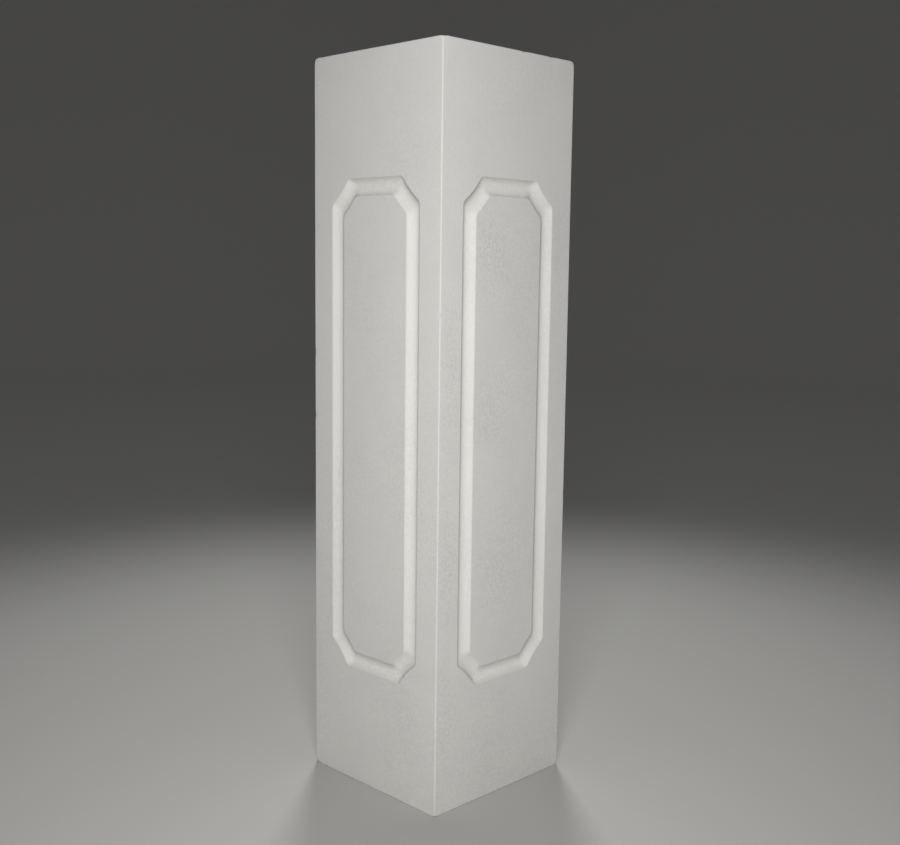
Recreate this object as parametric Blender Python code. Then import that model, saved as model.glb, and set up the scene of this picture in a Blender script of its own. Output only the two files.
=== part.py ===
"""Cast stone post: a square upright block with a sunk channel framing a panel on each of its four sides.

Metres, +Z up. The origin is the middle of the underside, and the four sides face along X and Y.
"""

import math

import bmesh
import bpy

# The block, as it leaves its mould: eight inches square and thirty-two inches tall
POST_WIDTH = 0.2032
POST_HEIGHT = 0.8128
ARRIS_RADIUS = 0.0012

# The channel on each side runs round an upright rectangle, set in from the side's edges
PANEL_SIDE_MARGIN = 0.03175
PANEL_TOP_MARGIN = 0.13335
PANEL_BOTTOM_MARGIN = 0.13335

# Its section is a round-bottomed groove, three quarters of an inch wide at the face
CHANNEL_WIDTH = 0.019
CHANNEL_DEPTH = 0.0065

# The rectangle's corners are clipped by arcs that bow in towards the panel, and each
# leg is how much of the channel's outer edge the arc takes off both of the corner's sides.
# The channel is slightly wider round these bends than along its straight runs.
CORNER_LEG = 0.027
CORNER_RADIUS = 0.1016
BEND_WIDTH = 0.021

# The sides that carry it, in the order of a quarter turn each from the one that faces -Y
SIDES = ("front", "right", "back", "left")

# How finely the curves are faceted
ARRIS_SEGMENTS = 3
CHANNEL_SEGMENTS = 10
CORNER_SEGMENTS = 8
SHARP_ANGLE = math.radians(35)

# Warm off-white, dry and matt
STONE_COLOUR = (0.515, 0.503, 0.479, 1.0)
STONE_ROUGHNESS = 0.9


def clear_scene():
    """Start from an empty scene."""
    for thing in list(bpy.data.objects):
        bpy.data.objects.remove(thing, do_unlink=True)


def cast_stone():
    """Material of the whole casting: white cement and fine sand, with no coat on it."""
    material = bpy.data.materials.new("cast_stone")
    material.use_nodes = True
    shader = material.node_tree.nodes["Principled BSDF"]
    shader.inputs["Base Color"].default_value = STONE_COLOUR
    shader.inputs["Roughness"].default_value = STONE_ROUGHNESS
    shader.inputs["Metallic"].default_value = 0.0
    return material


def finished_object(name, shape, material):
    """Turn a bmesh into an object of that name, smooth but for its sharp edges."""
    mesh = bpy.data.meshes.new(name)
    bmesh.ops.recalc_face_normals(shape, faces=shape.faces)
    shape.to_mesh(mesh)
    shape.free()
    mesh.shade_smooth()
    mesh.set_sharp_from_angle(angle=SHARP_ANGLE)
    mesh.materials.append(material)
    piece = bpy.data.objects.new(name, mesh)
    bpy.context.collection.objects.link(piece)
    return piece


def block(material):
    """The plain block with its arrises rounded."""
    shape = bmesh.new()
    bmesh.ops.create_cube(shape, size=1.0)
    bmesh.ops.translate(shape, verts=shape.verts, vec=(0.0, 0.0, 0.5))
    bmesh.ops.scale(shape, verts=shape.verts, vec=(POST_WIDTH, POST_WIDTH, POST_HEIGHT))
    post = finished_object("post", shape, material)
    rounding = post.modifiers.new("arrises", "BEVEL")
    rounding.width = ARRIS_RADIUS
    rounding.segments = ARRIS_SEGMENTS
    return post


def channel_section():
    """Section of the channel as points (inset, depth), from its outer lip to its inner one.

    The inset is counted in from the frame's outer edge and the depth down from the face. The groove is
    one arc on the chord between the lips, and the section is closed outside the face, as far above
    it as the groove is deep.
    """
    half_angle = 2 * math.atan2(2 * CHANNEL_DEPTH, CHANNEL_WIDTH)
    radius = CHANNEL_WIDTH / 2 / math.sin(half_angle)
    points = [(0.0, -CHANNEL_DEPTH)]
    for step in range(CHANNEL_SEGMENTS + 1):
        angle = half_angle * (2 * step / CHANNEL_SEGMENTS - 1)
        inset = CHANNEL_WIDTH / 2 + radius * math.sin(angle)
        depth = CHANNEL_DEPTH - radius * (1 - math.cos(angle))
        points.append((inset, depth))
    points.append((CHANNEL_WIDTH, -CHANNEL_DEPTH))
    return points


def frame_loop(inset):
    """The frame's outline at an inset from its outer edge, as points (across, up) on a side.

    Four straight runs are joined by arcs. The arcs of a corner share one centre at every inset. It lies
    outside the corner, on its bisector, so the channel is equally wide all round the bend and mitres
    with the straight runs.
    """
    side = POST_WIDTH / 2 - PANEL_SIDE_MARGIN
    top = POST_HEIGHT - PANEL_TOP_MARGIN
    bottom = PANEL_BOTTOM_MARGIN
    beyond = (math.sqrt(2 * CORNER_RADIUS**2 - CORNER_LEG**2) - CORNER_LEG) / 2
    radius = CORNER_RADIUS + inset * BEND_WIDTH / CHANNEL_WIDTH
    first = math.asin((beyond + inset) / radius)
    last = math.pi / 2 - first
    angles = [first + (last - first) * step / CORNER_SEGMENTS for step in range(CORNER_SEGMENTS + 1)]
    bend = [(beyond - radius * math.cos(angle), beyond - radius * math.sin(angle)) for angle in angles]
    points = []
    for right, upward in ((1, 1), (1, -1), (-1, -1), (-1, 1)):
        level = top if upward > 0 else bottom
        turn = bend if right == upward else reversed(bend)
        points.extend((right * (side + across), level + upward * up) for across, up in turn)
    return points


def channel_cutter(name, material):
    """The ring that sinks the channel into the side facing -Y: the section carried round the frame."""
    shape = bmesh.new()
    rings = []
    for inset, depth in channel_section():
        face = depth - POST_WIDTH / 2
        rings.append([shape.verts.new((across, face, up)) for across, up in frame_loop(inset)])
    for ring, next_ring in zip(rings, rings[1:] + rings[:1]):
        for index in range(len(ring)):
            before = index - 1
            shape.faces.new((ring[before], ring[index], next_ring[index], next_ring[before]))
    cutter = finished_object(name, shape, material)
    cutter.hide_render = True
    cutter.display_type = "WIRE"
    return cutter


def sink_panels(post, material):
    """Sink the same channel into each side, turning the cutter round the post's axis."""
    for turns, side in enumerate(SIDES):
        cutter = channel_cutter(f"{side}_channel_cutter", material)
        cutter.parent = post
        cutter.rotation_euler.z = math.tau * turns / len(SIDES)
        cut = post.modifiers.new(f"{side}_channel", "BOOLEAN")
        cut.operation = "DIFFERENCE"
        cut.solver = "EXACT"
        cut.object = cutter


clear_scene()
stone = cast_stone()
sink_panels(block(stone), stone)
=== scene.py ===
import math

import bpy
import numpy as np
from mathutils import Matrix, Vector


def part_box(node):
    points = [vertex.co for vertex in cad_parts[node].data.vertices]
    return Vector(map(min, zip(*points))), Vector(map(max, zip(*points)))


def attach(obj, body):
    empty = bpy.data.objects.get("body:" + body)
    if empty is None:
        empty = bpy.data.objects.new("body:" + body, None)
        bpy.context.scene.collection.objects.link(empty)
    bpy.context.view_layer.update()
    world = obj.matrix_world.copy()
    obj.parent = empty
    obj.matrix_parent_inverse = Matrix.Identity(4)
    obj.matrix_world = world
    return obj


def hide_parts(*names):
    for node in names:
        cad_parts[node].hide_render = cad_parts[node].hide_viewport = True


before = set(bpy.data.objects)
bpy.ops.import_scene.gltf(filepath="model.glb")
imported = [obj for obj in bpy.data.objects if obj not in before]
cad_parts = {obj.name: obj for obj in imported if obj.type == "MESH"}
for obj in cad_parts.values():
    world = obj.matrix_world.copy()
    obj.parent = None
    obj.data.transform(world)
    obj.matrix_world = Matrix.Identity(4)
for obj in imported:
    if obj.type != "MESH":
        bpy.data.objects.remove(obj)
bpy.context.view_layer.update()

# The post
# One solid casting of white cement and fine crushed stone, tamped damp into a square mould whose ribs leave a
# round-bottomed channel round a panel on each side. It stands on its flat foot by its own weight.
MM = 0.001
low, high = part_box("post")
WIDTH = high.x - low.x
HEIGHT = high.z - low.z
MIDDLE = np.array([0.0, 0.0, HEIGHT / 2])
HALF = np.array([WIDTH / 2, WIDTH / 2, HEIGHT / 2])
ARRIS_RADIUS = 1.2 * MM

# The outline that the channel's outer edge draws on each side: an upright rectangle with hollow clipped
# corners. The centre of a corner's arc lies beyond the rectangle's corner by one distance along and up.
PANEL_SIDE_MARGIN = 31.75 * MM
PANEL_END_MARGIN = 133.35 * MM
FRAME_HALF_WIDTH = WIDTH / 2 - PANEL_SIDE_MARGIN
FRAME_HALF_HEIGHT = HEIGHT / 2 - PANEL_END_MARGIN
CORNER_LEG = 27 * MM
CORNER_RADIUS = 101.6 * MM
CORNER_BEYOND = (math.sqrt(2 * CORNER_RADIUS**2 - CORNER_LEG**2) - CORNER_LEG) / 2

# The channel's section. Its lips are rounded off by the outer and the inner radius, more along the long runs.
CHANNEL_WIDTH = 19 * MM
BEND_WIDTH = 21 * MM
CHANNEL_DEPTH = 6.5 * MM
MITRE_SOFTNESS = 4.5 * MM
LONG_RUN_LIPS = (1.0 * MM, 1.2 * MM)
CROSS_RUN_LIPS = (0.4 * MM, 0.6 * MM)
LIP_CHANGE = 40 * MM

# How finely a side is drawn: points along half a bend and along the runs, then lines from the arris inward
ARC_STEPS = 14
MITRE_STEPS = 6
BEND_STEPS = ARC_STEPS + MITRE_STEPS
ACROSS_STEPS = 22
UP_STEPS = 123
ARRIS_STEPS = 3
LIP_STEPS = 3
GROOVE_STEPS = 12
MARGIN_STEPS = 5
PANEL_STEPS = 10
CREASE_WIDTH = 0.6 * MM
RIM_DISTANCES = (1.8 * MM, 2.8 * MM, 4.4 * MM, 7.5 * MM)
STATION_SPREAD = 1.8
SPINE_SHARE = 0.86
SHARP_ANGLE = math.radians(30)


def lip(radius, arc_radius, arc_height):
    """Half of a lip's section, from the face down to the groove: arrays of across and depth, and the slope.

    A lip is a fillet of radius r that touches the face and the groove's arc: its centre lies r under the face
    and R + r from the arc's centre, which is as far above the face as the arc's height.
    """
    across = math.sqrt((arc_radius + radius) ** 2 - (arc_height + radius) ** 2)
    slope = math.atan2(across, arc_height + radius)
    turn = np.linspace(0, slope, LIP_STEPS + 1)
    return np.stack([across - radius * np.sin(turn), radius * (1 - np.cos(turn))]), slope


def channel_profile(outer_lip, inner_lip):
    """Section of the channel as arrays of the inset from the frame's outer edge and of the depth.

    The groove is an arc of radius R through two sharp lips, each of which is then rounded off.
    """
    half = CHANNEL_WIDTH / 2
    arc_radius = (half**2 + CHANNEL_DEPTH**2) / (2 * CHANNEL_DEPTH)
    arc_height = arc_radius - CHANNEL_DEPTH
    outer, outer_slope = lip(outer_lip, arc_radius, arc_height)
    inner, inner_slope = lip(inner_lip, arc_radius, arc_height)
    sweep = np.linspace(outer_slope, -inner_slope, GROOVE_STEPS + 1)[1:-1]
    groove = np.stack([arc_radius * np.sin(sweep), arc_radius * np.cos(sweep) - arc_height])
    across, depth = np.hstack([outer, groove, inner[:, ::-1] * np.array([[-1], [1]])])
    return half - across, depth


def frame_edge(half_length, insets, run_steps):
    """One run of the frame with half of the bend at each of its ends, for each inset from its outer edge.

    Returns arrays (inset, station) of the distance along the run and inward from its outer edge. A bend is
    an arc about a point beyond the frame's corner, on its bisector, of radius R + inset x bend's width over
    run's width. It starts on the bisector and would meet the run's own line at the mitre, which a
    parabola rounds off: it leaves the arc and the run at one distance from the mitre.
    """
    inset = insets[:, None]
    radius = CORNER_RADIUS + inset * BEND_WIDTH / CHANNEL_WIDTH
    meets = np.arcsin((CORNER_BEYOND + inset) / radius)
    leaves = meets + MITRE_SOFTNESS / radius
    angles = math.pi / 4 + (leaves - math.pi / 4) * np.linspace(0, 1, ARC_STEPS + 1)
    arc_along = half_length + CORNER_BEYOND - radius * np.cos(angles)
    arc_inward = radius * np.sin(angles) - CORNER_BEYOND
    mitre = half_length + CORNER_BEYOND - radius * np.cos(meets)
    share = np.linspace(0, 1, MITRE_STEPS + 1)[1:]
    start, middle, end = (1 - share) ** 2, 2 * share * (1 - share), share**2
    mitre_along = start * arc_along[:, -1:] + middle * mitre + end * (mitre - MITRE_SOFTNESS)
    mitre_inward = start * arc_inward[:, -1:] + (middle + end) * inset
    along = np.hstack([arc_along, mitre_along])
    inward = np.hstack([arc_inward, mitre_inward])
    run = along[:, -1:] * np.linspace(-1, 1, run_steps + 1)[1:-1]
    run_inward = inset + np.zeros_like(run)
    return np.hstack([-along, run, along[:, ::-1]]), np.hstack([inward, run_inward, inward[:, ::-1]])


def round_the_side(across_run, across_in, half_width, up_run, up_in, half_height):
    """Join two kinds of edge into closed loops (line, station, across and up), from the lower left corner.

    The bottom, right, top and left edges follow each other anticlockwise, seen from outside.
    """
    bottom = np.stack([across_run, across_in - half_height], axis=-1)
    right = np.stack([half_width - up_in, up_run], axis=-1)
    return np.concatenate([bottom[:, :-1], right[:, :-1], -bottom[:, :-1], -right[:, :-1]], axis=1)


def frame_loops(insets):
    """The frame's outline at each inset from its outer edge."""
    across_run, across_in = frame_edge(FRAME_HALF_WIDTH, insets, ACROSS_STEPS)
    up_run, up_in = frame_edge(FRAME_HALF_HEIGHT, insets, UP_STEPS)
    return round_the_side(across_run, across_in, FRAME_HALF_WIDTH, up_run, up_in, FRAME_HALF_HEIGHT)


def arris_distances():
    """Distances from a sharp edge whose points, thrown onto the rounding, part it into equal angles."""
    return ARRIS_RADIUS * (1 - np.tan(np.linspace(math.pi / 4, 0, ARRIS_STEPS + 1)))


def edge_stations(half_length, run_half, run_steps):
    """Stations along a sharp edge of a side, from one end to the other.

    They are close together at its ends, for the rounded corners, then ever farther apart down to the level
    where the frame's run starts, and even along the run.
    """
    ends = half_length - arris_distances()
    share = np.linspace(0, 1, BEND_STEPS - ARRIS_STEPS + 1)[1:] ** STATION_SPREAD
    along = np.concatenate([ends, ends[-1] + (run_half - ends[-1]) * share])
    run = run_half * np.linspace(-1, 1, run_steps + 1)[1:-1]
    return np.concatenate([-along, run, along[::-1]])


def rectangle_loops(stations_across, stations_up, distances):
    """The side's own rectangle, drawn in by each distance, with its stations drawn in evenly."""
    inward = distances[:, None]
    across = stations_across * (1 - inward / HALF[0])
    up = stations_up * (1 - inward / HALF[2])
    return round_the_side(across, inward + 0 * across, HALF[0], up, inward + 0 * up, HALF[2])


def blended(first, last, steps):
    """The loops between two loops, at even shares of the way, without the two."""
    share = np.linspace(0, 1, steps + 1)[1:-1, None, None]
    return first * (1 - share) + last * share


def side_sheet():
    """One side as a grid of loops: (line, station, across and up), with the points' depths, and its stations.

    From the outside in, the lines are the arris, the plain margin, the channel's section and the panel's
    field, which closes on a spine up its middle. A short step on each side of a rounding keeps the flats
    flat. The lips are softer along the long runs than round the bends and across.
    """
    insets, depths = channel_profile(*LONG_RUN_LIPS)
    crisp_insets, crisp_depths = channel_profile(*CROSS_RUN_LIPS)
    outer, inner = frame_loops(np.array([insets[0] - CREASE_WIDTH, insets[-1] + CREASE_WIDTH]))
    soft = np.clip((FRAME_HALF_HEIGHT - CORNER_LEG - np.abs(outer[:, 1])) / LIP_CHANGE, 0, 1)
    run_across = outer[BEND_STEPS + ACROSS_STEPS, 0]
    first_up = 2 * BEND_STEPS + ACROSS_STEPS
    run_up = outer[first_up + BEND_STEPS + UP_STEPS, 1]
    stations_across = edge_stations(HALF[0], run_across, ACROSS_STEPS)
    stations_up = edge_stations(HALF[2], run_up, UP_STEPS)
    distances = np.append(arris_distances(), RIM_DISTANCES)
    rim = rectangle_loops(stations_across, stations_up, distances)
    margin = blended(rim[-1], outer, MARGIN_STEPS)
    channel = soft[:, None] * frame_loops(insets) + (1 - soft[:, None]) * frame_loops(crisp_insets)
    corner_up = inner[0, 1]
    spine = np.zeros_like(inner)
    spine[:, 1] = SPINE_SHARE * np.clip(inner[:, 1], corner_up, -corner_up)
    field = blended(inner, spine, PANEL_STEPS)
    lines = np.concatenate([rim, margin, outer[None], channel, inner[None], field, spine[None]])
    depth = np.zeros(lines.shape[:2])
    start = len(rim) + len(margin) + 1
    depth[start:start + len(depths)] = np.outer(depths, soft) + np.outer(crisp_depths, 1 - soft)
    return lines, depth, stations_across


def grid_quads(rows, columns, closed):
    """Corner numbers of a grid's quads, anticlockwise. A closed grid joins its last column to its first."""
    last = columns if closed else columns - 1
    row, column = np.meshgrid(np.arange(rows - 1), np.arange(last), indexing="ij")
    beside = (column + 1) % columns
    start = row * columns
    above = start + columns
    return np.stack([start + column, start + beside, above + beside, above + column], axis=-1).reshape(-1, 4)


# Slow random change over the casting, for its grain and its unevenness
WAVES = 24
WAVELENGTH_RANGE = (0.7, 1.4)


def waves(points, wavelength, seed):
    """Smooth random relief of unit strength: the sum of plane cosine waves in random directions."""
    rng = np.random.default_rng(seed)
    heading = rng.normal(size=(WAVES, 3))
    heading /= np.linalg.norm(heading, axis=1, keepdims=True)
    pace = 2 * math.pi / (wavelength * rng.uniform(*WAVELENGTH_RANGE, (WAVES, 1)))
    phase = rng.uniform(0, 2 * math.pi, WAVES)
    return np.cos(points @ (heading * pace).T + phase).sum(axis=1) * math.sqrt(2 / WAVES)


# Where the mix was dry and the side that faces +X is open-grained in the photo, as place along +Y, height,
# spread along +Y, spread up and strength
OPEN_GRAIN = np.array([
    (-35, 615, 20, 40, 0.6),
    (-15, 590, 30, 45, 0.3),
    (-28, 430, 30, 38, 0.5),
    (-20, 235, 34, 45, 0.5),
    (-85, 490, 12, 55, 0.7),
    (-85, 245, 12, 75, 0.7),
    (-90, 110, 14, 60, 0.5),
    (0, 400, 90, 300, 0.1),
]) * np.array([MM, MM, MM, MM, 1])
OPEN_GRAIN_EDGE = 10 * MM
PLAIN_GRAIN = 0.2
GRAIN_CLOUD = 0.14
GRAIN_WAVELENGTH = 150 * MM
GRAIN_SEED = 3
FOOT_GRAIN = 0.25
FOOT_HEIGHT = 110 * MM


def porosity(points):
    """How open the grain is, from 0 to 1.

    On the +X side it is a sum of bell-shaped patches, and on all of the post a random cloud and a rise
    towards the foot.
    """
    cloud = PLAIN_GRAIN + GRAIN_CLOUD * waves(points, GRAIN_WAVELENGTH, GRAIN_SEED)
    foot = FOOT_GRAIN * np.exp(-points[:, 2] / FOOT_HEIGHT)
    on_side = np.clip((points[:, 0] - HALF[0] + OPEN_GRAIN_EDGE) / OPEN_GRAIN_EDGE, 0, 1)
    offset = (points[:, None, 1:] - OPEN_GRAIN[:, :2]) / OPEN_GRAIN[:, 2:4]
    patches = (OPEN_GRAIN[:, 4] * np.exp(-(offset**2).sum(axis=2))).sum(axis=1)
    return np.clip(cloud + foot + on_side * patches, 0, 1)


# Pits left by air against the mould: one to two millimetres across, more of them where the grain is open. A
# pit keeps clear of the edges of its own quad. Quads that are small or slanting or near the spine have none.
PIT_RADII = (0.4 * MM, 1.1 * MM)
PIT_SIZE_SKEW = (1.2, 3.0)
PIT_DEPTH_SHARE = 0.6
PIT_WOBBLE = (0.75, 1.15)
PIT_RIM = 8
PIT_FLOOR_RADIUS = 0.72
PIT_FLOOR_DEPTH = 0.65
PIT_ROOM = 0.42
PIT_EDGE_ROOM = 1.25
PIT_FREE_LINES = 3
MOST_SHEAR = 0.5
PITS_PER_SIDE = 60
PITS_PER_END = 24
PIT_SEED = 7


def sink_pits(flat, depth, quads, open_quads, chance, count, rng):
    """Replace some quads by quads with a pit in them, chosen by chance x area.

    A pit is two rings of eight points and one in the middle. The outer ring lies on the face with a wobbly
    radius, and the inner one is drawn in and sunk by the floor's shares. Each corner of the quad joins the
    two points of its own quarter of the outer ring. Returns points, depths, quads and triangles.
    """
    corners = flat[quads[open_quads]]
    along = (corners[:, 1] + corners[:, 2] - corners[:, 0] - corners[:, 3]) / 2
    up = (corners[:, 3] + corners[:, 2] - corners[:, 0] - corners[:, 1]) / 2
    length = np.linalg.norm(along, axis=1)
    height = np.linalg.norm(up, axis=1)
    shear = np.abs((along * up).sum(axis=1)) / (length * height)
    room = PIT_ROOM * np.minimum(length, height) * (1 - shear)
    fit = (room > 2 * PIT_RADII[0]) & (shear < MOST_SHEAR)
    weight = np.where(fit, chance[open_quads] * length * height, 0)
    chosen = rng.choice(len(open_quads), count, replace=False, p=weight / weight.sum())
    along, up, length, height = along[chosen], up[chosen], length[chosen, None], height[chosen, None]
    size = PIT_RADII[0] + (PIT_RADII[1] - PIT_RADII[0]) * rng.beta(*PIT_SIZE_SKEW, count)
    size = np.minimum(size, room[chosen])[:, None]
    play = (0.5 - PIT_EDGE_ROOM * np.stack([size / length, size / height])).clip(0)
    shift = rng.uniform(-1, 1, (2, count, 1)) * play
    centre = corners[chosen].mean(axis=1) + shift[0] * along + shift[1] * up
    angle = (np.arange(PIT_RIM) + 0.5) * 2 * math.pi / PIT_RIM
    radius = size * rng.uniform(*PIT_WOBBLE, (count, PIT_RIM))
    sideways = np.cos(angle)[:, None] * (along / length)[:, None]
    upward = np.sin(angle)[:, None] * (up / height)[:, None]
    ring = radius[:, :, None] * (sideways + upward)
    middle = centre[:, None]
    new_flat = np.concatenate([middle + ring, middle + PIT_FLOOR_RADIUS * ring, middle], axis=1)
    new_depth = PIT_DEPTH_SHARE * size * np.repeat([0, PIT_FLOOR_DEPTH, 1], [PIT_RIM, PIT_RIM, 1])
    first = len(flat) + np.arange(count)[:, None] * (2 * PIT_RIM + 1)
    number = np.arange(PIT_RIM)
    rim = first + number
    floor = first + PIT_RIM + number
    bottom = first + 2 * PIT_RIM + 0 * number
    cell = quads[open_quads[chosen]][:, [2, 3, 0, 1]]
    bands = np.stack([cell, np.roll(cell, -1, 1), np.roll(rim, -2, 1)[:, ::2], rim[:, 1::2]], axis=-1)
    walls = np.stack([rim, np.roll(rim, -1, 1), np.roll(floor, -1, 1), floor], axis=-1)
    wedges = np.stack([cell, rim[:, 1::2], rim[:, ::2]], axis=-1)
    bowls = np.stack([floor, np.roll(floor, -1, 1), bottom], axis=-1)
    kept = np.delete(quads, open_quads[chosen], axis=0)
    return (
        np.concatenate([flat, new_flat.reshape(-1, 2)]),
        np.concatenate([depth, new_depth.ravel()]),
        np.concatenate([kept, bands.reshape(-1, 4), walls.reshape(-1, 4)]),
        np.concatenate([wedges.reshape(-1, 3), bowls.reshape(-1, 3)]),
    )


# Small knocks along the arrises, one of them on the front arris as in the photo, the corners' wear at the
# foot and at the top, and the casting's slight unevenness. A knock as deep as the skin bares open grain.
KNOCKS = 30
KNOCK_SEED = 11
KNOCK_SPREAD = (1.5 * MM, 3.5 * MM)
KNOCK_DEPTH = (0.15 * MM, 0.55 * MM)
SEEN_KNOCK = (HALF[0], -HALF[0], 536 * MM)
SEEN_KNOCK_SIZE = (3.2 * MM, 1.1 * MM)
SKIN_DEPTH = 0.7 * MM
CORNER_WEAR_SPREAD = 3.2 * MM
CORNER_WEAR_DEPTH = (1.0 * MM, 1.2 * MM)
UNEVENNESS = 0.12 * MM
UNEVEN_WAVELENGTH = 70 * MM
UNEVEN_SEED = 5


def knocks(points, rng):
    """Depth of the dents and of the wear at the corners.

    A dent is a bell-shaped hollow about a point of an arris: depth x exp(-(distance / spread) squared). The
    wear is the same about each corner of the block.
    """
    anywhere = rng.uniform(-1, 1, (KNOCKS, 3)) * HALF
    axis = rng.integers(0, 3, KNOCKS)
    corner = np.sign(rng.uniform(-1, 1, (KNOCKS, 3))) * HALF
    on_arris = np.where(np.arange(3) == axis[:, None], anywhere, corner) + MIDDLE
    spread = rng.uniform(*KNOCK_SPREAD, KNOCKS)
    depth = rng.uniform(*KNOCK_DEPTH, KNOCKS)
    corners = np.stack(np.meshgrid((-1, 1), (-1, 1), (-1, 1)), axis=-1).reshape(-1, 3)
    wear = np.where(corners[:, 2] < 0, *CORNER_WEAR_DEPTH)
    place = np.concatenate([on_arris, [SEEN_KNOCK], MIDDLE + HALF * corners])
    spread = np.concatenate([spread, [SEEN_KNOCK_SIZE[0]], np.full(len(corners), CORNER_WEAR_SPREAD)])
    depth = np.concatenate([depth, [SEEN_KNOCK_SIZE[1]], wear])
    distance = np.linalg.norm(points[:, None] - place, axis=2)
    hollows = depth * np.exp(-((distance / spread) ** 2))
    dents, worn_corners = np.split(hollows, [KNOCKS + 1], axis=1)
    return dents.sum(axis=1), worn_corners.sum(axis=1)


def cast_surface(box_points, depth):
    """Throw points of the sharp box onto the rounded one and sink them by their depth.

    A point's core is the point pulled in to the box that is smaller by the arris radius all round. The
    outward direction runs from the core to the point, and the rounded surface lies one arris radius out
    along it. Knocks and unevenness add to the depth. Returns the points, how far each is round an arris
    and how much of its skin is knocked off, the last two from 0 to 1.
    """
    local = box_points - MIDDLE
    core = np.clip(local, ARRIS_RADIUS - HALF, HALF - ARRIS_RADIUS)
    outward = local - core
    outward /= np.linalg.norm(outward, axis=1, keepdims=True)
    surface = MIDDLE + core + ARRIS_RADIUS * outward
    uneven = UNEVENNESS * (1 + np.tanh(waves(surface, UNEVEN_WAVELENGTH, UNEVEN_SEED))) / 2
    dents, wear = knocks(surface, np.random.default_rng(KNOCK_SEED))
    sink = depth + uneven + dents + wear
    round_arris = (1 - np.abs(outward).max(axis=1)) / (1 - math.sqrt(0.5))
    return surface - outward * sink[:, None], round_arris, np.clip(dents / SKIN_DEPTH, 0, 1)


def pitted_faces():
    """The six faces of the sharp box, each as its points, depths, quads and triangles.

    The four sides are one sheet turned by quarter turns, and the two ends are square grids on the sides'
    own stations. A point lies at the face's middle plus its two flat distances along the face's axes.
    """
    lines, line_depths, stations = side_sheet()
    rows, columns = lines.shape[:2]
    flat = lines.reshape(-1, 2)
    depth = line_depths.ravel()
    quads = grid_quads(rows, columns, closed=True)
    line = quads[:, 0] // columns
    plain = (line > ARRIS_STEPS) & (line < rows - PIT_FREE_LINES)
    open_quads = np.flatnonzero((depth[quads].max(axis=1) == 0) & plain)
    end_flat = np.stack(np.meshgrid(stations, stations, indexing="xy"), axis=-1).reshape(-1, 2)
    end_quads = grid_quads(len(stations), len(stations), closed=False)
    from_middle = np.abs(end_flat[end_quads].mean(axis=1)).max(axis=1)
    end_open = np.flatnonzero(from_middle < HALF[0] - 2 * ARRIS_RADIUS)
    rng = np.random.default_rng(PIT_SEED)
    faces = []
    for quarter in range(4):
        turn = quarter * math.pi / 2
        axes = np.array([[math.cos(turn), math.sin(turn), 0], [0, 0, 1]])
        middle = MIDDLE + np.array([math.sin(turn), -math.cos(turn), 0]) * HALF[0]
        chance = porosity(flat[quads].mean(axis=1) @ axes + middle) ** 2
        pitted, *rest = sink_pits(flat, depth, quads, open_quads, chance, PITS_PER_SIDE, rng)
        faces.append((pitted @ axes + middle, *rest))
    no_depth = np.zeros(len(end_flat))
    even_chance = np.ones(len(end_quads))
    for up in (-1, 1):
        axes = np.array([[1, 0, 0], [0, up, 0]])
        middle = MIDDLE + (0, 0, up * HALF[2])
        pitted, *rest = sink_pits(end_flat, no_depth, end_quads, end_open, even_chance, PITS_PER_END, rng)
        faces.append((pitted @ axes + middle, *rest))
    return faces


# The channel is painted paler than the faces: a little along the long runs, and more in the two cross runs as
# painted light, most in the bottom run, which takes more light from above. The two cross runs have a more
# open grain. Their look starts so many widths of the channel inside the outline's ends.
CROSS_RUN_GRAIN = 0.4
LONG_RUN_PALE = 0.045
CROSS_RUN_PAINTED_LIGHT = (0.15, 0.09)
CROSS_RUN_REACH = 1.5
WELD = 0.001 * MM
WELD_PHASE = 0.37


def post_mesh(name):
    """The six faces as one closed mesh, with values for the grain, the rubbed arrises and the channel's
    painted light.

    Points of neighbouring faces that share a cell of the weld's grid become one. A quad on the spine's end
    has two corners in one place and becomes a triangle. The painted light and the grain follow the channel's
    depth, and change from a long run to a cross run over one width of the channel.
    """
    face_points, face_depths, face_quads, face_triangles = zip(*pitted_faces())
    starts = np.cumsum([0] + [len(points) for points in face_points])
    box_points = np.concatenate(face_points)
    depths = np.concatenate(face_depths)
    quads = np.concatenate([corners + start for corners, start in zip(face_quads, starts)])
    triangles = np.concatenate([corners + start for corners, start in zip(face_triangles, starts)])
    points, round_arris, chipped = cast_surface(box_points, depths)
    sunk = np.clip(depths / CHANNEL_DEPTH, 0, 1)
    beyond = np.abs(box_points[:, 2] - MIDDLE[2]) - FRAME_HALF_HEIGHT
    cross_run = np.clip(beyond / CHANNEL_WIDTH + CROSS_RUN_REACH, 0, 1)
    end_painted_light = np.where(box_points[:, 2] < MIDDLE[2], *CROSS_RUN_PAINTED_LIGHT)
    values = {
        "porosity": np.clip(porosity(box_points) + CROSS_RUN_GRAIN * sunk * cross_run + chipped, 0, 1),
        "worn": round_arris * (1 - chipped),
        # Painted light: the channel is painted paler, most in the bottom run, where more light falls from
        # above.
        "painted_channel_light": sunk * (LONG_RUN_PALE + (end_painted_light - LONG_RUN_PALE) * cross_run),
    }
    cells = np.floor(points / WELD + WELD_PHASE).astype(np.int64)
    _, first, welded = np.unique(cells, axis=0, return_index=True, return_inverse=True)
    quads = welded.ravel()[quads]
    triangles = welded.ravel()[triangles]
    pinched = quads[:, 2] == quads[:, 3]
    facets = quads[~pinched].tolist() + quads[pinched][:, :3].tolist() + triangles.tolist()
    mesh = bpy.data.meshes.new(name)
    mesh.from_pydata(points[first], [], facets)
    for label, value in values.items():
        attribute = mesh.attributes.new(label, "FLOAT", "POINT")
        attribute.data.foreach_set("value", value[first].astype(np.float32))
    mesh.shade_smooth()
    mesh.set_sharp_from_angle(angle=SHARP_ANGLE)
    return mesh


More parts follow.
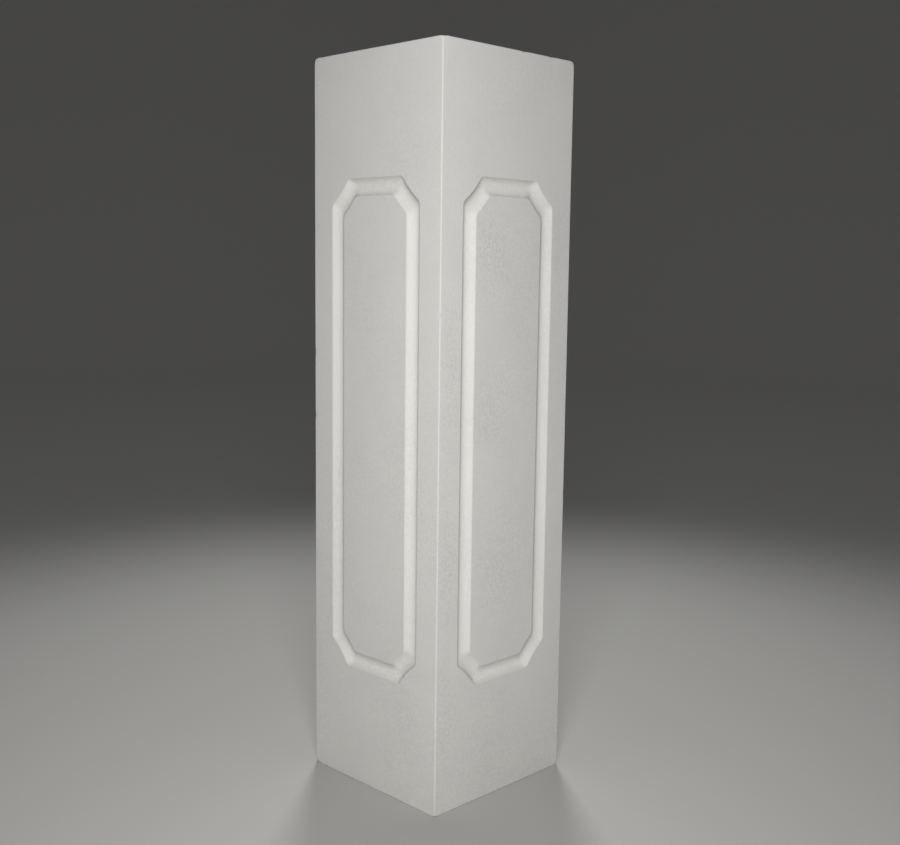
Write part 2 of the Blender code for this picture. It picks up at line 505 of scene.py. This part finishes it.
def linear(colour):
    """An sRGB hex colour as linear red, green, blue and alpha."""
    srgb = np.array([int(colour[place:place + 2], 16) for place in (1, 3, 5)]) / 255
    return (*np.where(srgb <= 0.04045, srgb / 12.92, ((srgb + 0.055) / 1.055) ** 2.4), 1.0)


def add(tree, kind, settings=None, sockets=None):
    """Add a node with its settings. A socket, by name or number, is linked to an output or given a value."""
    node = tree.nodes.new(kind)
    for name, value in (settings or {}).items():
        setattr(node, name, value)
    for name, value in (sockets or {}).items():
        if isinstance(value, bpy.types.NodeSocket):
            tree.links.new(value, node.inputs[name])
        else:
            node.inputs[name].default_value = value
    return node


# Cast stone straight from the mould: off-white cement that binds fine pale sand, dry, uncoated and matt. The
# eye gets a soft cloudiness from uneven damp, a sandy speckle, and where the mix was open a rougher skin with
# pinholes painted darker as the shade in them. The sand is 0.3 to 0.5 mm across, drawn at about 1 mm because
# it wouldn't show otherwise.
CEMENT_LIGHT = "#E4E2DE"
CEMENT_DARK = "#E0DEDA"
# Painted shade: the pinholes' darker colour stands in for the shade inside them.
PINHOLE_SHADE = "#CDCAC6"
ARRIS_RUB = "#EDEBE7"
RUB_SHARE = 0.35
CLOUD_SIZE = 55 * MM
CLOUD_NOISE = {"Scale": 1 / CLOUD_SIZE, "Detail": 5.0, "Roughness": 0.7}
CLOUD_RANGE = {"From Min": 0.3, "From Max": 0.7}
SAND_SIZE = 1.0 * MM
SAND_NOISE = {"Scale": 1 / SAND_SIZE, "Detail": 1.0, "Roughness": 0.6}
SAND_RANGE = {"From Min": 0.25, "From Max": 0.75}
SAND_TONE = 0.04
SAND_RELIEF = {"Strength": 0.5, "Distance": 0.12 * MM}
PEEL_SIZE = 3.2 * MM
PEEL_NOISE = {"Scale": 1 / PEEL_SIZE, "Detail": 2.0, "Roughness": 0.6}
OPEN_TONE = 0.035
PEEL_TONE = 0.09
PEEL_RANGE = {**CLOUD_RANGE, "To Min": -PEEL_TONE - OPEN_TONE, "To Max": PEEL_TONE - OPEN_TONE}
PEEL_RELIEF = 0.3 * MM
PINHOLE_SPACING = 2.4 * MM
PINHOLE_RADII = (0.15 * MM, 0.6 * MM)
PINHOLE_RANGE = {"To Min": PINHOLE_RADII[0] / PINHOLE_SPACING, "To Max": PINHOLE_RADII[1] / PINHOLE_SPACING}
PINHOLE_FLOOR = 0.6
PINHOLE_RELIEF = {"Strength": 0.6, "Distance": 0.4 * MM}
ROUGHNESS = {"To Min": 0.84, "To Max": 0.96}
SHEEN = 0.3
DIFFUSE_ROUGHNESS = 0.12


def cast_stone():
    """The stone's tone is the clouded cement x (sand + open grain x peel + the channel's painted light).

    Rubbed arrises mix in a lighter colour, and pinholes a darker one as painted shade in the holes. A pinhole
    is drawn about each point of a random pattern, with a radius that grows with the open grain.
    """
    material = bpy.data.materials.new("cast_stone_off_white")
    material.use_nodes = True
    tree = material.node_tree
    shader = tree.nodes["Principled BSDF"]
    place = add(tree, "ShaderNodeTexCoord").outputs["Object"]
    open_grain = add(tree, "ShaderNodeAttribute", {"attribute_name": "porosity"}).outputs["Fac"]
    rubbed = add(tree, "ShaderNodeAttribute", {"attribute_name": "worn"}).outputs["Fac"]
    # Painted light: the channel painted paler, most in the bottom run
    painted_channel_light = add(tree, "ShaderNodeAttribute", {"attribute_name": "painted_channel_light"}).outputs["Fac"]

    damp = add(tree, "ShaderNodeTexNoise", None, {"Vector": place, **CLOUD_NOISE}).outputs["Fac"]
    cloud = add(tree, "ShaderNodeMapRange", None, {"Value": damp, **CLOUD_RANGE}).outputs[0]
    cement = add(tree, "ShaderNodeMix", {"data_type": "RGBA"}, {
        0: cloud, 6: linear(CEMENT_DARK), 7: linear(CEMENT_LIGHT)}).outputs[2]

    sand = add(tree, "ShaderNodeTexNoise", None, {"Vector": place, **SAND_NOISE}).outputs["Fac"]
    speckle = add(tree, "ShaderNodeMapRange", None, {
        "Value": sand, **SAND_RANGE, "To Min": 1 - SAND_TONE, "To Max": 1 + SAND_TONE}).outputs[0]
    peel = add(tree, "ShaderNodeTexNoise", None, {"Vector": place, **PEEL_NOISE}).outputs["Fac"]
    peel_tone = add(tree, "ShaderNodeMapRange", None, {"Value": peel, **PEEL_RANGE}).outputs[0]
    peeled = add(tree, "ShaderNodeMath", {"operation": "MULTIPLY_ADD"}, {
        0: peel_tone, 1: open_grain, 2: speckle}).outputs[0]
    tone = add(tree, "ShaderNodeMath", {"operation": "ADD"}, {0: painted_channel_light, 1: peeled}).outputs[0]
    sanded = add(tree, "ShaderNodeVectorMath", {"operation": "SCALE"}, {0: cement, "Scale": tone}).outputs[0]
    rub = add(tree, "ShaderNodeMath", {"operation": "MULTIPLY"}, {0: rubbed, 1: RUB_SHARE}).outputs[0]
    edged = add(tree, "ShaderNodeMix", {"data_type": "RGBA"}, {
        0: rub, 6: sanded, 7: linear(ARRIS_RUB)}).outputs[2]

    radius = add(tree, "ShaderNodeMapRange", None, {"Value": open_grain, **PINHOLE_RANGE}).outputs[0]
    distance = add(tree, "ShaderNodeTexVoronoi", {"feature": "F1"}, {
        "Vector": place, "Scale": 1 / PINHOLE_SPACING}).outputs["Distance"]
    hole = add(tree, "ShaderNodeMath", {"operation": "MULTIPLY"}, {0: radius, 1: PINHOLE_FLOOR}).outputs[0]
    solid = add(tree, "ShaderNodeMapRange", {"interpolation_type": "SMOOTHSTEP"}, {
        "Value": distance, "From Min": hole, "From Max": radius}).outputs[0]
    # Painted shade in the pinholes
    pinhole_shaded = add(tree, "ShaderNodeMix", {"data_type": "RGBA"}, {
        0: solid, 6: linear(PINHOLE_SHADE), 7: edged}).outputs[2]
    tree.links.new(pinhole_shaded, shader.inputs["Base Color"])

    roughness = add(tree, "ShaderNodeMapRange", None, {"Value": sand, **ROUGHNESS}).outputs[0]
    tree.links.new(roughness, shader.inputs["Roughness"])
    shader.inputs["Specular IOR Level"].default_value = SHEEN
    shader.inputs["Diffuse Roughness"].default_value = DIFFUSE_ROUGHNESS
    gritty = add(tree, "ShaderNodeBump", None, {**SAND_RELIEF, "Height": sand}).outputs[0]
    rippled = add(tree, "ShaderNodeBump", None, {
        "Strength": open_grain, "Distance": PEEL_RELIEF, "Height": peel, "Normal": gritty}).outputs[0]
    pricked = add(tree, "ShaderNodeBump", None, {
        **PINHOLE_RELIEF, "Height": solid, "Normal": rippled}).outputs[0]
    tree.links.new(pricked, shader.inputs["Normal"])
    return material


post = bpy.data.objects.new("cast_stone_post", post_mesh("cast_stone_post"))
bpy.context.scene.collection.objects.link(post)
post.data.materials.append(cast_stone())
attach(post, "root")
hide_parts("post")

# The studio floor
# A floor of pale matt paint that sweeps up into a round wall far behind, so that no horizon shows.
# It only stands in for the room: the post rests on it, and it is no part of the piece.
FLOOR_RADIUS = 5.0
SWEEP_RADIUS = 3.0
WALL_HEIGHT = 3.5
SWEEP_STEPS = 16
TURN_STEPS = 96


def sweep_mesh(name):
    """A floor disc, a quarter circle up and a wall: a profile of radius and height turned about Z."""
    bend = np.linspace(0, math.pi / 2, SWEEP_STEPS + 1)
    swept = FLOOR_RADIUS + SWEEP_RADIUS * np.sin(bend)
    radius = np.concatenate([[0, FLOOR_RADIUS / 2], swept, [FLOOR_RADIUS + SWEEP_RADIUS]])
    height = np.concatenate([[0, 0], SWEEP_RADIUS * (1 - np.cos(bend)), [WALL_HEIGHT]])
    angle = np.linspace(0, 2 * math.pi, TURN_STEPS, endpoint=False)
    level = height[:, None] + 0 * angle
    points = np.stack([np.outer(radius, np.cos(angle)), np.outer(radius, np.sin(angle)), level], axis=-1)
    quads = grid_quads(len(radius), TURN_STEPS, closed=True)[:, ::-1]
    mesh = bpy.data.meshes.new(name)
    mesh.from_pydata(points.reshape(-1, 3), [], quads.tolist())
    mesh.shade_smooth()
    return mesh


# Wall paint, rolled on and quite matt, so that the eye gets an even grey with no gloss
FLOOR_PAINT = "#CAC9C6"
FLOOR_ROUGHNESS = 0.95
FLOOR_SHEEN = 0.1


def floor_paint():
    """One even colour with almost no sheen."""
    material = bpy.data.materials.new("pale_matt_paint")
    material.use_nodes = True
    shader = material.node_tree.nodes["Principled BSDF"]
    shader.inputs["Base Color"].default_value = linear(FLOOR_PAINT)
    shader.inputs["Roughness"].default_value = FLOOR_ROUGHNESS
    shader.inputs["Specular IOR Level"].default_value = FLOOR_SHEEN
    return material


floor = bpy.data.objects.new("studio_floor", sweep_mesh("studio_floor"))
bpy.context.scene.collection.objects.link(floor)
floor.data.materials.append(floor_paint())

# The camera
# It looks at the near arris from a little above the post's middle and 1.2 m away, through a lens of normal
# angle, given in millimetres on a sensor of full width.
CAMERA_AT = (0.9589, -0.9402, 0.5841)
CAMERA_TURN = (82.577, -0.706, 45.180)
CAMERA_LENS = 47.16
CAMERA_SENSOR = 36
camera = bpy.data.objects.new("camera", bpy.data.cameras.new("camera"))
camera.location = CAMERA_AT
camera.rotation_euler = [math.radians(angle) for angle in CAMERA_TURN]
camera.data.lens = CAMERA_LENS
camera.data.sensor_width = CAMERA_SENSOR
camera.data.clip_start = 0.05
bpy.context.scene.collection.objects.link(camera)
bpy.context.scene.camera = camera

# The light
# A tall soft lamp with a narrowed spread, just in front of the camera, makes the photo's light. A soft spot
# lamp high behind the post lights its far sides and fades out on the floor, and the air adds a faint light.
KEY_AT = (0.7, -0.709, 0.645)
KEY_SIZE = (0.25, 1.0)
KEY_SPREAD = math.radians(140)
KEY_POWER = 5.0
BACK_AT = (-1.7, 1.6, 2.2)
BACK_RADIUS = 0.35
BACK_CONE = math.radians(62)
BACK_POWER = 150.0
AIR_COLOUR = "#FFFFFF"
AIR_STRENGTH = 0.12


def hang(light, at):
    """Hang a lamp at a point and turn it by heading and tilt to face the middle of the post."""
    holder = bpy.data.objects.new(light.name, light)
    holder.location = at
    aim = MIDDLE - np.array(at)
    heading = math.atan2(-aim[0], aim[1])
    tilt = math.atan2(math.hypot(aim[0], aim[1]), -aim[2])
    holder.rotation_euler = (tilt, 0, heading)
    bpy.context.scene.collection.objects.link(holder)


key = bpy.data.lights.new("key", "AREA")
key.shape = "RECTANGLE"
key.size, key.size_y = KEY_SIZE
key.energy = KEY_POWER
key.spread = KEY_SPREAD
hang(key, KEY_AT)
back = bpy.data.lights.new("back", "SPOT")
back.shadow_soft_size = BACK_RADIUS
back.spot_size = BACK_CONE
back.spot_blend = 1.0
back.energy = BACK_POWER
hang(back, BACK_AT)
world = bpy.data.worlds.new("studio_air")
world.use_nodes = True
air = world.node_tree.nodes["Background"]
air.inputs["Color"].default_value = linear(AIR_COLOUR)
air.inputs["Strength"].default_value = AIR_STRENGTH
bpy.context.scene.world = world
bpy.context.scene.view_settings.view_transform = "Standard"
